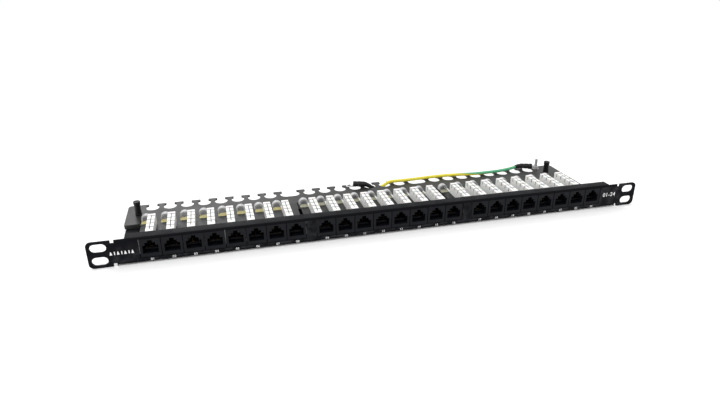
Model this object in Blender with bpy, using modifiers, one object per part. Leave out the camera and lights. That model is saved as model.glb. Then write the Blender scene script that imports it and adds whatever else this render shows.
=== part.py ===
"""Half-unit 24-port patch panel for a 19-inch rack, as separate solids.

Metres, +Z up. The dimensions below are measured from the middle of the front face's
bottom edge: X along the panel, Y from the front face to the rear, Z from the bottom of the
rack ears upward. An empty then carries everything so that the origin is at the centre of
the panel's footprint.
"""
import math

import bmesh
import bpy
from mathutils import Matrix, Vector

MM = 0.001
GAP = 0.3
COLLECTION = "patch_panel"

# Rack panel, in millimetres
PANEL_WIDTH = 482.6
PANEL_HEIGHT = 22.0
SHEET = 1.5
BEND_RADIUS = 1.9
EAR_CORNER = 3.5
BODY_HALF = 221.0
FLANGE_HALF = 213.0
FLANGE_DEPTH = 9.8
TRAY_BASE = 0.5
TRAY_DEPTH = 74.0
TRAY_TOP = TRAY_BASE + SHEET
NOTCH_X = 222.4
NOTCH_WIDTH = 2.7
NOTCH_DEPTH = 2.5
SLOT_X = 232.8
SLOT_HEIGHTS = (5.5, 16.5)
SLOT_LENGTH = 12.0
SLOT_WIDTH = 7.1

# Ports: three groups of eight
GROUPS = 3
PORTS_PER_GROUP = 8
PORT_PITCH = 16.256
GROUP_PITCH = 138.69
WINDOW_LOW = 4.2
WINDOW_HIGH = 20.35
WINDOW_HALF = PORTS_PER_GROUP * PORT_PITCH / 2 + 0.2

# Modular jack
JACK_HALF = 7.85
JACK_REAR_HALF = 7.7
JACK_LOW = 4.5
JACK_HIGH = 20.05
JACK_BEZEL_DEPTH = 3.0
JACK_DEPTH = 20.7
JACK_TALL_DEPTH = 14.2
JACK_TAIL_HIGH = 16.4
SOCKET_LOW = 7.6
SOCKET_DEPTH = 13.0
SOCKET_STEPS = ((5.9, 6.8), (3.9, 2.2), (1.7, 2.1))

# Circuit boards
BOARD_TOP = 6.3
BOARD_THICK = 1.6
BOARD_FRONT = 3.7
BOARD_REAR = 70.2
BOARD_LEFT_OF_FIRST = 13.3
BOARD_WIDTH = 137.9
BOARD_CORNER = 1.0
NOTCH_FROM = 42.0
NOTCH_TO = 56.0
NOTCH_BITE = 1.0
BOSS_RADIUS = 2.6
BOSS_SPREAD = 55.0
BOSS_ROWS = (28.0, 61.0)

# Insulation displacement block with its cable arch
BLOCK_SHIFT = -2.0
BLOCK_HALF = 3.05
BLOCK_FRONT = 22.5
BLOCK_REAR = 56.2
BLOCK_TOP = 16.3
WIRE_SLOTS = 4
WIRE_SLOT_FIRST = 30.2
WIRE_SLOT_PITCH = 7.25
WIRE_SLOT_WIDTH = 0.95
WIRE_SLOT_DEPTH = 3.4
GROOVE_WIDTH = 0.6
GROOVE_DEPTH = 2.5
GROOVE_INSET = 3.0
ARCH_SHIFT = -8.3
ARCH_RADIUS = 4.2
ARCH_WALL = 1.3
ARCH_SPRING = 7.6
ARCH_FRONT = 64.0
ARCH_REAR = 68.5
ARCH_ARC_STEPS = 10
FOOT_HEIGHT = 1.2

# Rear cable bar
BAR_TOP = 6.0
BAR_SHEET = 1.2
BAR_LEFT = -222.0
BAR_RIGHT = 214.2
BAR_REAR = 101.9
BAR_TAB_FRONT = 60.3
BAR_MIDDLE_FRONT = 70.7
BAR_CORNER = 3.2
BAR_FOOT_DEPTH = 9.0
WEB_INSET = 0.25
WEB_PROUD = 0.15
TAB_LEFT_INNER = -209.4
TAB_RIGHT_INNER = 207.3
FINGER_CENTRE = -8.6
FINGER_PITCH = 15.4
FINGER_GROUP_GAP = 22.5
FINGER_STEM_HALF = 2.0
FINGER_TIP_HALF = 4.1
FINGER_TIP_DEPTH = 3.4
OPENING_BOTTOM = 87.6
OPENING_STEPS = 6
OPENING_RADIUS = 5.7
OPENING_SHOULDER = 2.0
END_OPENING_WIDTH = 11.4

# Hardware on the bar
SCREW_Y = 80.5
SCREW_LEFT_X = -211.6
SCREW_RIGHT_X = 196.4
SCREW_HEAD_RADIUS = 2.8
SCREW_HEAD_TOP = 19.1
SCREW_SHANK_RADIUS = 1.5
SCREW_SHANK_LOW = 1.0
SCREW_HOLE_RADIUS = 1.85
ARM_REAR = 88.0
ARM_BOSS_RADIUS = 4.0
ARM_LEFT_INNER = -203.0
ARM_RIGHT_INNER = 190.0
STUD = (193.0, 95.0)
STUD_RADIUS = 1.48
STUD_HOLE_RADIUS = 1.8
STUD_TOP = 17.0
STUD_HEAD_RADIUS = 2.9
STUD_HEAD_HEIGHT = 2.0
LUG_THICK = 0.8
LUG_RADIUS = 3.2
TONGUE_FROM = 2.6
TONGUE_TO = 6.2
TONGUE_HALF = 1.6
LUG_BORE = 1.8
NUT_FLATS = 5.5
NUT_HEIGHT = 2.4
NUT_BORE = 1.8

# Ground wire
WIRE_RADIUS = 1.6
WIRE_POINTS = 72
BARREL_RADIUS = 2.5
BARREL_BORE = 1.95
BARREL_START = 3.7
BARREL_LENGTH = 9.0
BARREL_BORE_DEPTH = 6.5
LUG_BASE = BAR_TOP + GAP
BARREL_HEIGHT = LUG_BASE + BARREL_RADIUS + 0.06
FREE_LUG = (-13.8, 97.4)
FREE_LUG_TURN = math.radians(-17.0)
STUD_LUG_TURN = math.radians(161.0)
WIRE_ROUTE = (
    (176.9, 100.0, 9.2), (171.4, 99.4, 8.8), (165.0, 97.9, 8.2), (157.0, 96.0, 8.0),
    (147.0, 94.4, 7.95), (134.0, 93.6, 7.95), (120.0, 93.6, 7.95), (106.0, 95.2, 7.95),
    (92.0, 96.4, 7.95), (78.0, 96.6, 7.95), (62.0, 95.7, 7.95), (48.0, 94.9, 7.95),
    (37.5, 94.4, 8.1), (32.0, 94.2, 8.3), (28.5, 94.2, 8.15), (25.0, 94.3, 6.95),
    (21.0, 94.3, 4.6), (17.6, 94.2, 3.1), (14.5, 94.0, 2.75), (11.4, 93.6, 3.1),
    (8.2, 93.0, 4.7), (4.9, 92.4, 7.1), (1.8, 92.65, 8.65),
)

GRAPHITE = (0.035, 0.037, 0.042)
BLACK = (0.012, 0.013, 0.016)
BOARD_GREEN = (0.02, 0.045, 0.035)
WHITE = (0.82, 0.82, 0.80)
STEEL = (0.62, 0.62, 0.60)
WIRE_COLOUR = (0.75, 0.78, 0.08)


def clear_scene():
    """Remove what the start-up file holds, and make the two collections."""
    for obj in list(bpy.data.objects):
        bpy.data.objects.remove(obj, do_unlink=True)
    parts = bpy.data.collections.new(COLLECTION)
    cutters = bpy.data.collections.new("cutters")
    for collection in (parts, cutters):
        bpy.context.scene.collection.children.link(collection)
    return parts, cutters


def make_material(name, colour, roughness, metallic=0.0):
    """A plain Principled material."""
    material = bpy.data.materials.new(name)
    material.use_nodes = True
    shader = material.node_tree.nodes["Principled BSDF"]
    shader.inputs["Base Color"].default_value = (*colour, 1.0)
    shader.inputs["Roughness"].default_value = roughness
    shader.inputs["Metallic"].default_value = metallic
    return material


def link(name, mesh, collection, material=None):
    """Put a mesh in a collection as an object."""
    obj = bpy.data.objects.new(name, mesh)
    collection.objects.link(obj)
    if material and not mesh.materials:
        mesh.materials.append(material)
    return obj


def box(name, low, high, collection):
    """A box between two corners, in millimetres, with its origin at its centre."""
    low = Vector(low)
    high = Vector(high)
    shape = bmesh.new()
    bmesh.ops.create_cube(shape, size=1.0)
    size = (high - low) * MM
    bmesh.ops.scale(shape, vec=size, verts=shape.verts)
    mesh = bpy.data.meshes.new(name)
    shape.to_mesh(mesh)
    shape.free()
    obj = link(name, mesh, collection)
    obj.location = (low + high) / 2 * MM
    return obj


def cylinder(name, centre, radius, low, high, collection, sides=20, turn=None):
    """An upright cylinder, in millimetres; turn is a matrix applied before placing."""
    shape = bmesh.new()
    bmesh.ops.create_cone(
        shape, cap_ends=True, segments=sides, radius1=radius * MM, radius2=radius * MM,
        depth=(high - low) * MM,
    )
    bmesh.ops.translate(shape, vec=(0, 0, (high + low) / 2 * MM), verts=shape.verts)
    if turn:
        bmesh.ops.transform(shape, matrix=turn, verts=shape.verts)
    mesh = bpy.data.meshes.new(name)
    shape.to_mesh(mesh)
    shape.free()
    obj = link(name, mesh, collection)
    obj.location = (centre[0] * MM, centre[1] * MM, 0.0)
    return obj


def prism(name, outline, low, high, collection, plane="XY"):
    """A flat outline, in millimetres, raised between two levels across its plane."""
    curve = bpy.data.curves.new(name, "CURVE")
    curve.dimensions = "2D"
    curve.fill_mode = "BOTH"
    curve.extrude = (high - low) / 2 * MM
    spline = curve.splines.new("POLY")
    spline.points.add(len(outline) - 1)
    for point, (across, up) in zip(spline.points, outline):
        point.co = (across * MM, up * MM, 0.0, 1.0)
    spline.use_cyclic_u = True
    source = link(name + "_outline", curve, bpy.context.scene.collection)
    graph = bpy.context.evaluated_depsgraph_get()
    mesh = bpy.data.meshes.new_from_object(source.evaluated_get(graph))
    bpy.data.objects.remove(source, do_unlink=True)
    shape = bmesh.new()
    shape.from_mesh(mesh)
    bmesh.ops.remove_doubles(shape, verts=shape.verts, dist=1e-7)
    bmesh.ops.translate(shape, vec=(0, 0, (high + low) / 2 * MM), verts=shape.verts)
    bmesh.ops.transform(shape, matrix=PLANES[plane], verts=shape.verts)
    bmesh.ops.recalc_face_normals(shape, faces=shape.faces)
    shape.to_mesh(mesh)
    shape.free()
    mesh.name = name
    return link(name, mesh, collection)


# How an outline's (across, up, through) turns into (X, Y, Z)
PLANES = {
    "XY": Matrix(((1, 0, 0, 0), (0, 1, 0, 0), (0, 0, 1, 0), (0, 0, 0, 1))),
    "XZ": Matrix(((1, 0, 0, 0), (0, 0, 1, 0), (0, 1, 0, 0), (0, 0, 0, 1))),
    "YZ": Matrix(((0, 0, 1, 0), (1, 0, 0, 0), (0, 1, 0, 0), (0, 0, 0, 1))),
}


def combine(target, other, operation, cutters):
    """Add or cut another solid, exactly; the other one stays hidden among the cutters."""
    modifier = target.modifiers.new(other.name, "BOOLEAN")
    modifier.operation = operation
    modifier.solver = "EXACT"
    modifier.object = other
    if other.name not in cutters.objects:
        for collection in list(other.users_collection):
            collection.objects.unlink(other)
        cutters.objects.link(other)
    other.hide_render = True
    other.display_type = "WIRE"


def settle(obj):
    """Give an object the mesh that its modifiers make, so that copies can share it."""
    graph = bpy.context.evaluated_depsgraph_get()
    mesh = bpy.data.meshes.new_from_object(obj.evaluated_get(graph))
    mesh.transform(obj.matrix_world)
    obj.modifiers.clear()
    obj.data = mesh
    obj.matrix_world = Matrix.Identity(4)


def arc(centre, radius, start, end, steps):
    """Points on an arc, angles in degrees."""
    points = []
    for index in range(steps + 1):
        angle = math.radians(start + (end - start) * index / steps)
        points.append((centre[0] + radius * math.cos(angle), centre[1] + radius * math.sin(angle)))
    return points


def rounded_rectangle(low, high, radius, steps=4):
    """Outline of a rectangle with round corners."""
    x0, y0 = low
    x1, y1 = high
    points = arc((x1 - radius, y0 + radius), radius, -90, 0, steps)
    points += arc((x1 - radius, y1 - radius), radius, 0, 90, steps)
    points += arc((x0 + radius, y1 - radius), radius, 90, 180, steps)
    points += arc((x0 + radius, y0 + radius), radius, 180, 270, steps)
    return points


def slot_outline(x, z):
    """Outline of one rack slot, round at both ends."""
    radius = SLOT_WIDTH / 2
    reach = SLOT_LENGTH / 2 - radius
    points = arc((x + reach, z), radius, -90, 90, 8)
    points += arc((x - reach, z), radius, 90, 270, 8)
    return points


def port_positions():
    """X of every port, left to right."""
    positions = []
    for group in range(GROUPS):
        middle = (group - (GROUPS - 1) / 2) * GROUP_PITCH
        for port in range(PORTS_PER_GROUP):
            positions.append(middle + (port - (PORTS_PER_GROUP - 1) / 2) * PORT_PITCH)
    return positions


def finger_positions():
    """X of every T finger on the rear bar, left to right."""
    span = (GROUPS * (PORTS_PER_GROUP - 1)) * FINGER_PITCH + (GROUPS - 1) * FINGER_GROUP_GAP
    x = FINGER_CENTRE - span / 2
    positions = []
    for index in range(GROUPS * PORTS_PER_GROUP):
        if index:
            x += FINGER_GROUP_GAP if index % PORTS_PER_GROUP == 0 else FINGER_PITCH
        positions.append(x)
    return positions


def channel_outline():
    """Section of the bent panel: top flange, front face and bottom tray, in Y and Z."""
    inner = BEND_RADIUS - SHEET
    low = TRAY_BASE + BEND_RADIUS
    high = PANEL_HEIGHT - BEND_RADIUS
    points = [(TRAY_DEPTH, TRAY_TOP), (TRAY_DEPTH, TRAY_BASE)]
    points += arc((BEND_RADIUS, low), BEND_RADIUS, 270, 180, 5)
    points += arc((BEND_RADIUS, high), BEND_RADIUS, 180, 90, 5)
    points += [(FLANGE_DEPTH, PANEL_HEIGHT), (FLANGE_DEPTH, PANEL_HEIGHT - SHEET)]
    points += arc((BEND_RADIUS, high), inner, 90, 180, 3)
    points += arc((BEND_RADIUS, low), inner, 180, 270, 3)
    return points


def build_front_panel(parts, cutters, material):
    """Front face, ears, top flange, bottom tray, board bosses and screw arms in one sheet."""
    panel = prism("front_panel", channel_outline(), -BODY_HALF, BODY_HALF, parts, "YZ")
    panel.data.materials.append(material)
    for side in (-1, 1):
        name = "left" if side < 0 else "right"
        build_ear(panel, side, name, cutters)
        build_arm(panel, side, name, cutters)
        trim = box("flange_trim_" + name, trim_corner(side, 0), trim_corner(side, 1), cutters)
        combine(panel, trim, "DIFFERENCE", cutters)
    for group in range(GROUPS):
        middle = (group - (GROUPS - 1) / 2) * GROUP_PITCH
        window = box(
            f"window_{group + 1}", (middle - WINDOW_HALF, -1.0, WINDOW_LOW),
            (middle + WINDOW_HALF, SHEET + 1.5, WINDOW_HIGH), cutters,
        )
        combine(panel, window, "DIFFERENCE", cutters)
        for x in (middle - BOSS_SPREAD, middle + BOSS_SPREAD):
            for y in BOSS_ROWS:
                boss = cylinder(
                    "board_boss", (x, y), BOSS_RADIUS, TRAY_BASE + SHEET / 2,
                    BOARD_TOP - BOARD_THICK - GAP, cutters, sides=12,
                )
                combine(panel, boss, "UNION", cutters)
    return panel


def trim_corner(side, far):
    """Corners of the box that cuts the flange short of the ears."""
    near_x = side * FLANGE_HALF
    far_x = side * (BODY_HALF + 1)
    if far:
        return (max(near_x, far_x), FLANGE_DEPTH + 1, PANEL_HEIGHT + 1)
    return (min(near_x, far_x), SHEET, PANEL_HEIGHT - 4)


def build_ear(panel, side, name, cutters):
    """One rack ear with its two slots and its two bend-relief notches."""
    outer = side * PANEL_WIDTH / 2
    inner = side * (BODY_HALF - 0.4)
    low = (min(outer, inner - side * EAR_CORNER), 0.0)
    high = (max(outer, inner - side * EAR_CORNER), PANEL_HEIGHT)
    ear = prism("ear_" + name, rounded_rectangle(low, high, EAR_CORNER), 0.0, SHEET, cutters, "XZ")
    # Square off the hidden inner end, which lies inside the channel's own face.
    root_low = (min(inner, inner - side * (EAR_CORNER + 1)), -1.0, -1.0)
    root_high = (max(inner, inner - side * (EAR_CORNER + 1)), SHEET + 1.0, PANEL_HEIGHT + 1.0)
    root = box("ear_root_" + name, root_low, root_high, cutters)
    combine(ear, root, "DIFFERENCE", cutters)
    combine(panel, ear, "UNION", cutters)
    for level in SLOT_HEIGHTS:
        slot = prism(
            f"slot_{name}", slot_outline(side * SLOT_X, level), -1.0, SHEET + 1.0, cutters, "XZ",
        )
        combine(panel, slot, "DIFFERENCE", cutters)
    for low_z, high_z in ((-1.0, NOTCH_DEPTH), (PANEL_HEIGHT - NOTCH_DEPTH, PANEL_HEIGHT + 1.0)):
        x = side * NOTCH_X
        notch = box(
            f"notch_{name}", (x - NOTCH_WIDTH / 2, -1.0, low_z),
            (x + NOTCH_WIDTH / 2, SHEET + 3.0, high_z), cutters,
        )
        combine(panel, notch, "DIFFERENCE", cutters)


def build_arm(panel, side, name, cutters):
    """Tray arm under one thumbscrew, with a boss that the screw goes down into."""
    inner = ARM_LEFT_INNER if side < 0 else ARM_RIGHT_INNER
    outer = side * (BODY_HALF - 8.0)
    screw_x = SCREW_LEFT_X if side < 0 else SCREW_RIGHT_X
    if side < 0:
        outer = -BODY_HALF + 0.5
    low = (min(inner, outer), TRAY_DEPTH - 1.0, TRAY_BASE)
    high = (max(inner, outer), ARM_REAR, TRAY_TOP)
    arm = box("arm_" + name, low, high, cutters)
    combine(panel, arm, "UNION", cutters)
    boss = cylinder(
        "arm_boss_" + name, (screw_x, SCREW_Y), ARM_BOSS_RADIUS, TRAY_BASE + SHEET / 2,
        BAR_TOP - BAR_SHEET - GAP, cutters,
    )
    combine(panel, boss, "UNION", cutters)
    hole = cylinder(
        "arm_hole_" + name, (screw_x, SCREW_Y), SCREW_HOLE_RADIUS, -1.0, BAR_TOP, cutters,
    )
    combine(panel, hole, "DIFFERENCE", cutters)


def socket_outline(x):
    """The stepped mouth of a modular jack, latch side up, in X and Z."""
    right = []
    level = SOCKET_LOW
    for half, rise in SOCKET_STEPS:
        right.append((x + half, level))
        level += rise
        right.append((x + half, level))
    left = [(2 * x - across, up) for across, up in reversed(right)]
    return right + left


def jack_rear_outline():
    """Side view of a jack's housing behind its bezel, lower behind the plug, in Y and Z."""
    base = BOARD_TOP + GAP
    front = GAP + 1.0
    step = GAP + JACK_TALL_DEPTH
    rear = GAP + JACK_DEPTH
    return [
        (front, base), (front, JACK_HIGH - 0.2), (step, JACK_HIGH - 0.2), (step, JACK_TAIL_HIGH),
        (rear, JACK_TAIL_HIGH), (rear, base),
    ]


def build_jacks(parts, cutters, material):
    """One modular jack for every port, all sharing the first one's mesh."""
    jack = box(
        "jack_01", (-JACK_HALF, GAP, JACK_LOW), (JACK_HALF, GAP + JACK_BEZEL_DEPTH, JACK_HIGH),
        parts,
    )
    rear = prism(
        "jack_rear", jack_rear_outline(), -JACK_REAR_HALF, JACK_REAR_HALF, cutters, "YZ",
    )
    combine(jack, rear, "UNION", cutters)
    socket = prism("jack_socket", socket_outline(0.0), -1.0, GAP + SOCKET_DEPTH, cutters, "XZ")
    combine(jack, socket, "DIFFERENCE", cutters)
    settle(jack)
    jack.data.materials.clear()
    jack.data.materials.append(material)
    for number, x in enumerate(port_positions(), start=1):
        name = f"jack_{number:02d}"
        copy = jack if number == 1 else link(name, jack.data, parts)
        copy.location = (x * MM, 0.0, 0.0)


def build_boards(parts, cutters, material):
    """One circuit board behind each group of eight jacks."""
    ports = port_positions()
    for group in range(GROUPS):
        left = ports[group * PORTS_PER_GROUP] - BOARD_LEFT_OF_FIRST
        right = left + BOARD_WIDTH
        outline = rounded_rectangle((left, BOARD_FRONT), (right, BOARD_REAR), BOARD_CORNER, 2)
        board = prism(
            f"circuit_board_{group + 1}", outline, BOARD_TOP - BOARD_THICK, BOARD_TOP, parts,
        )
        board.data.materials.append(material)
        for index, edge in enumerate((left, right)):
            bite = box(
                f"board_bite_{group + 1}_{index}",
                (edge - NOTCH_BITE, NOTCH_FROM, 0.0), (edge + NOTCH_BITE, NOTCH_TO, BOARD_TOP + 1.0),
                cutters,
            )
            combine(board, bite, "DIFFERENCE", cutters)


def wire_slot_positions():
    """Y of the wire slots across a block."""
    return [WIRE_SLOT_FIRST + index * WIRE_SLOT_PITCH for index in range(WIRE_SLOTS)]


def block_outline():
    """Side view of a block, a comb of towers with a wire slot between them, in Y and Z."""
    base = BOARD_TOP + GAP
    points = [(BLOCK_FRONT, base), (BLOCK_FRONT, BLOCK_TOP)]
    for y in wire_slot_positions():
        for edge, level in ((-1, BLOCK_TOP), (-1, BLOCK_TOP - WIRE_SLOT_DEPTH),
                            (1, BLOCK_TOP - WIRE_SLOT_DEPTH), (1, BLOCK_TOP)):
            points.append((y + edge * WIRE_SLOT_WIDTH / 2, level))
    points += [(BLOCK_REAR, BLOCK_TOP), (BLOCK_REAR, base)]
    return points


def arch_outline():
    """Front view of the cable arch, in X and Z."""
    base = BOARD_TOP + GAP
    outer = arc((ARCH_SHIFT, ARCH_SPRING), ARCH_RADIUS, 0, 180, ARCH_ARC_STEPS)
    inner = arc((ARCH_SHIFT, ARCH_SPRING), ARCH_RADIUS - ARCH_WALL, 180, 0, ARCH_ARC_STEPS)
    feet_outer = ARCH_SHIFT - ARCH_RADIUS
    feet_inner = ARCH_SHIFT - ARCH_RADIUS + ARCH_WALL
    right_inner = ARCH_SHIFT + ARCH_RADIUS - ARCH_WALL
    right_outer = ARCH_SHIFT + ARCH_RADIUS
    return outer + [(feet_outer, base), (feet_inner, base)] + inner + [
        (right_inner, base), (right_outer, base),
    ]


def build_blocks(parts, cutters, material):
    """One termination block for every port, moulded with the arch its cable comes in through."""
    left = BLOCK_SHIFT - BLOCK_HALF
    block = prism("idc_block_01", block_outline(), left, left + 2 * BLOCK_HALF, parts, "YZ")
    arch = prism("cable_arch", arch_outline(), ARCH_FRONT, ARCH_REAR, cutters, "XZ")
    combine(block, arch, "UNION", cutters)
    base = BOARD_TOP + GAP
    foot = box(
        "arch_foot", (left, BLOCK_REAR - 1.0, base),
        (ARCH_SHIFT + ARCH_RADIUS, ARCH_REAR - 0.5, base + FOOT_HEIGHT), cutters,
    )
    combine(block, foot, "UNION", cutters)
    groove = box(
        "block_groove",
        (BLOCK_SHIFT - GROOVE_WIDTH / 2, BLOCK_FRONT + GROOVE_INSET, BLOCK_TOP - GROOVE_DEPTH),
        (BLOCK_SHIFT + GROOVE_WIDTH / 2, BLOCK_REAR - GROOVE_INSET, BLOCK_TOP + 1.0), cutters,
    )
    combine(block, groove, "DIFFERENCE", cutters)
    settle(block)
    block.data.materials.clear()
    block.data.materials.append(material)
    for number, x in enumerate(port_positions(), start=1):
        copy = block if number == 1 else link(f"idc_block_{number:02d}", block.data, parts)
        copy.location = (x * MM, 0.0, 0.0)


def opening_outline(left_stem, right_stem):
    """One scalloped opening between two fingers, in X and Y, running out past the rear edge."""
    left = left_stem + FINGER_STEM_HALF
    right = right_stem - FINGER_STEM_HALF
    lip = BAR_REAR - FINGER_TIP_DEPTH
    radius = min((right - left) / 2, OPENING_RADIUS)
    low = OPENING_BOTTOM + radius
    shoulder = OPENING_SHOULDER
    points = [(left_stem + FINGER_TIP_HALF, BAR_REAR + 1.0), (left_stem + FINGER_TIP_HALF, lip)]
    points += arc((left + shoulder, lip - shoulder), shoulder, 90, 180, 3)
    points += arc((left + radius, low), radius, 180, 270, OPENING_STEPS)
    points += arc((right - radius, low), radius, 270, 360, OPENING_STEPS)
    points += arc((right - shoulder, lip - shoulder), shoulder, 0, 90, 3)
    points += [(right_stem - FINGER_TIP_HALF, lip), (right_stem - FINGER_TIP_HALF, BAR_REAR + 1.0)]
    cleaned = [points[0]]
    for point in points[1:]:
        if math.dist(point, cleaned[-1]) > 0.01:
            cleaned.append(point)
    return cleaned


def bar_outline():
    """Plan of the rear bar: two end tabs that reach forward, and the strip between them."""
    points = arc((BAR_RIGHT - BAR_CORNER, BAR_REAR - BAR_CORNER), BAR_CORNER, 0, 90, 4)
    points += arc((BAR_LEFT + BAR_CORNER, BAR_REAR - BAR_CORNER), BAR_CORNER, 90, 180, 4)
    points += [
        (BAR_LEFT, BAR_TAB_FRONT), (TAB_LEFT_INNER, BAR_TAB_FRONT),
        (TAB_LEFT_INNER, BAR_MIDDLE_FRONT), (TAB_RIGHT_INNER, BAR_MIDDLE_FRONT),
        (TAB_RIGHT_INNER, BAR_TAB_FRONT), (BAR_RIGHT, BAR_TAB_FRONT),
    ]
    return points


def build_rear_bar(parts, cutters, material):
    """Cable bar of thin sheet: bent-down feet, screw holes and T-shaped tie fingers."""
    bar = prism("rear_cable_bar", bar_outline(), BAR_TOP - BAR_SHEET, BAR_TOP, parts)
    bar.data.materials.append(material)
    foot_low = TRAY_TOP + GAP
    for name, x0, x1, y in (
        ("left", BAR_LEFT + WEB_INSET, TAB_LEFT_INNER - WEB_INSET, BAR_TAB_FRONT),
        ("middle", TAB_LEFT_INNER - 0.5, TAB_RIGHT_INNER + 0.5, BAR_MIDDLE_FRONT),
        ("right", TAB_RIGHT_INNER + WEB_INSET, BAR_RIGHT - WEB_INSET, BAR_TAB_FRONT),
    ):
        front = y - WEB_PROUD
        web = box(
            f"web_{name}", (x0, front, foot_low), (x1, front + BAR_SHEET, BAR_TOP - 0.4), cutters,
        )
        combine(bar, web, "UNION", cutters)
        if name != "middle":
            foot = box(
                f"foot_{name}", (x0 + WEB_INSET, front + 0.4, foot_low + 0.1),
                (x1 - WEB_INSET, front + BAR_FOOT_DEPTH, foot_low + BAR_SHEET), cutters,
            )
            combine(bar, foot, "UNION", cutters)
    fingers = finger_positions()
    first = fingers[0] - END_OPENING_WIDTH - 2 * FINGER_STEM_HALF
    last = fingers[-1] + END_OPENING_WIDTH + 2 * FINGER_STEM_HALF
    stems = [first] + fingers + [last]
    for index in range(len(stems) - 1):
        opening = prism(
            f"opening_{index + 1}", opening_outline(stems[index], stems[index + 1]),
            BAR_TOP - BAR_SHEET - 1.0, BAR_TOP + 1.0, cutters,
        )
        combine(bar, opening, "DIFFERENCE", cutters)
    for name, place, radius in (
        ("screw_hole_left", (SCREW_LEFT_X, SCREW_Y), SCREW_HOLE_RADIUS),
        ("screw_hole_right", (SCREW_RIGHT_X, SCREW_Y), SCREW_HOLE_RADIUS),
        ("stud_hole", STUD, STUD_HOLE_RADIUS),
    ):
        hole = cylinder(name, place, radius, BAR_TOP - BAR_SHEET - 1.0, BAR_TOP + 1.0, cutters)
        combine(bar, hole, "DIFFERENCE", cutters)
    return bar


def turned(name, profile, place, parts, material, steps=20):
    """A turned solid: a profile of (radius, height) in millimetres, top to bottom."""
    mesh = bpy.data.meshes.new(name)
    verts = [(radius * MM, 0.0, height * MM) for radius, height in profile]
    edges = [(index, index + 1) for index in range(len(verts) - 1)]
    mesh.from_pydata(verts, edges, [])
    obj = link(name, mesh, parts, material)
    screw = obj.modifiers.new("turn", "SCREW")
    screw.steps = steps
    screw.render_steps = steps
    screw.use_merge_vertices = True
    screw.merge_threshold = 1e-6
    screw.use_smooth_shade = False
    obj.location = (place[0] * MM, place[1] * MM, 0.0)
    return obj


def build_thumbscrews(parts, material):
    """The two tall black screws that hold the bar to the tray arms."""
    head_low = BAR_TOP + GAP
    profile = [(0.0, SCREW_HEAD_TOP), (SCREW_HEAD_RADIUS - 0.8, SCREW_HEAD_TOP)]
    profile += [(SCREW_HEAD_RADIUS, SCREW_HEAD_TOP - 0.8), (SCREW_HEAD_RADIUS, head_low)]
    profile += [(SCREW_SHANK_RADIUS, head_low), (SCREW_SHANK_RADIUS, SCREW_SHANK_LOW)]
    profile += [(0.0, SCREW_SHANK_LOW)]
    for name, x in (("thumbscrew_left", SCREW_LEFT_X), ("thumbscrew_right", SCREW_RIGHT_X)):
        turned(name, profile, (x, SCREW_Y), parts, material)


def build_ground_stud(parts, cutters, steel):
    """Threaded stud through the bar, and the hexagon nut that turns on it."""
    head_top = BAR_TOP - BAR_SHEET - GAP
    head_low = head_top - STUD_HEAD_HEIGHT
    profile = [(0.0, STUD_TOP), (STUD_RADIUS - 0.3, STUD_TOP), (STUD_RADIUS, STUD_TOP - 0.3)]
    profile += [(STUD_RADIUS, head_top), (STUD_HEAD_RADIUS, head_top)]
    profile += [(STUD_HEAD_RADIUS, head_low), (0.0, head_low)]
    turned("ground_stud", profile, STUD, parts, steel, steps=16)
    nut_low = LUG_BASE + LUG_THICK + GAP
    corner = NUT_FLATS / 2 / math.cos(math.radians(30))
    nut = cylinder("ground_nut", STUD, corner, nut_low, nut_low + NUT_HEIGHT, parts, sides=6)
    nut.data.materials.append(steel)
    bore = cylinder("nut_bore", STUD, NUT_BORE, 0.0, STUD_TOP, cutters, sides=16)
    combine(nut, bore, "DIFFERENCE", cutters)


def build_ring_lug(name, place, turn, parts, cutters, steel):
    """Crimped ring terminal, its ring flat on the bar and its barrel along the wire."""
    heading = Matrix.Rotation(turn, 4, "Z")
    lying = Matrix.Rotation(math.radians(90), 4, "Y")
    lift = Matrix.Translation((0, 0, BARREL_HEIGHT * MM))
    lug = cylinder(name, place, LUG_RADIUS, LUG_BASE, LUG_BASE + LUG_THICK, parts, sides=20)
    lug.data.materials.append(steel)
    start = BARREL_START
    end = BARREL_START + BARREL_LENGTH
    barrel = cylinder(
        "barrel_" + name, place, BARREL_RADIUS, start, end, cutters, sides=16,
        turn=heading @ lift @ lying,
    )
    combine(lug, barrel, "UNION", cutters)
    tongue = box(
        "tongue_" + name, (TONGUE_FROM, -TONGUE_HALF, LUG_BASE + 0.03),
        (TONGUE_TO, TONGUE_HALF, LUG_BASE + LUG_THICK - 0.04), cutters,
    )
    tongue.data.transform(Matrix.Translation(tongue.location))
    tongue.location = (place[0] * MM, place[1] * MM, 0.0)
    tongue.rotation_euler = (0.0, 0.0, turn)
    combine(lug, tongue, "UNION", cutters)
    bore = cylinder(
        "barrel_bore_" + name, place, BARREL_BORE, end - BARREL_BORE_DEPTH, end + 2.0, cutters,
        sides=16, turn=heading @ lift @ lying,
    )
    combine(lug, bore, "DIFFERENCE", cutters)
    eye = cylinder("eye_" + name, place, LUG_BORE, 0.0, STUD_TOP + 1.0, cutters, sides=16)
    eye_limit = BARREL_START - 1.2
    if eye_limit < LUG_BORE:
        raise ValueError("The barrel reaches into the ring's eye")
    combine(lug, eye, "DIFFERENCE", cutters)
    return lug


def along(place, turn, distance, height):
    """A point some way out from a lug's eye, along its barrel."""
    return Vector((
        place[0] + distance * math.cos(turn), place[1] + distance * math.sin(turn), height,
    ))


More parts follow.
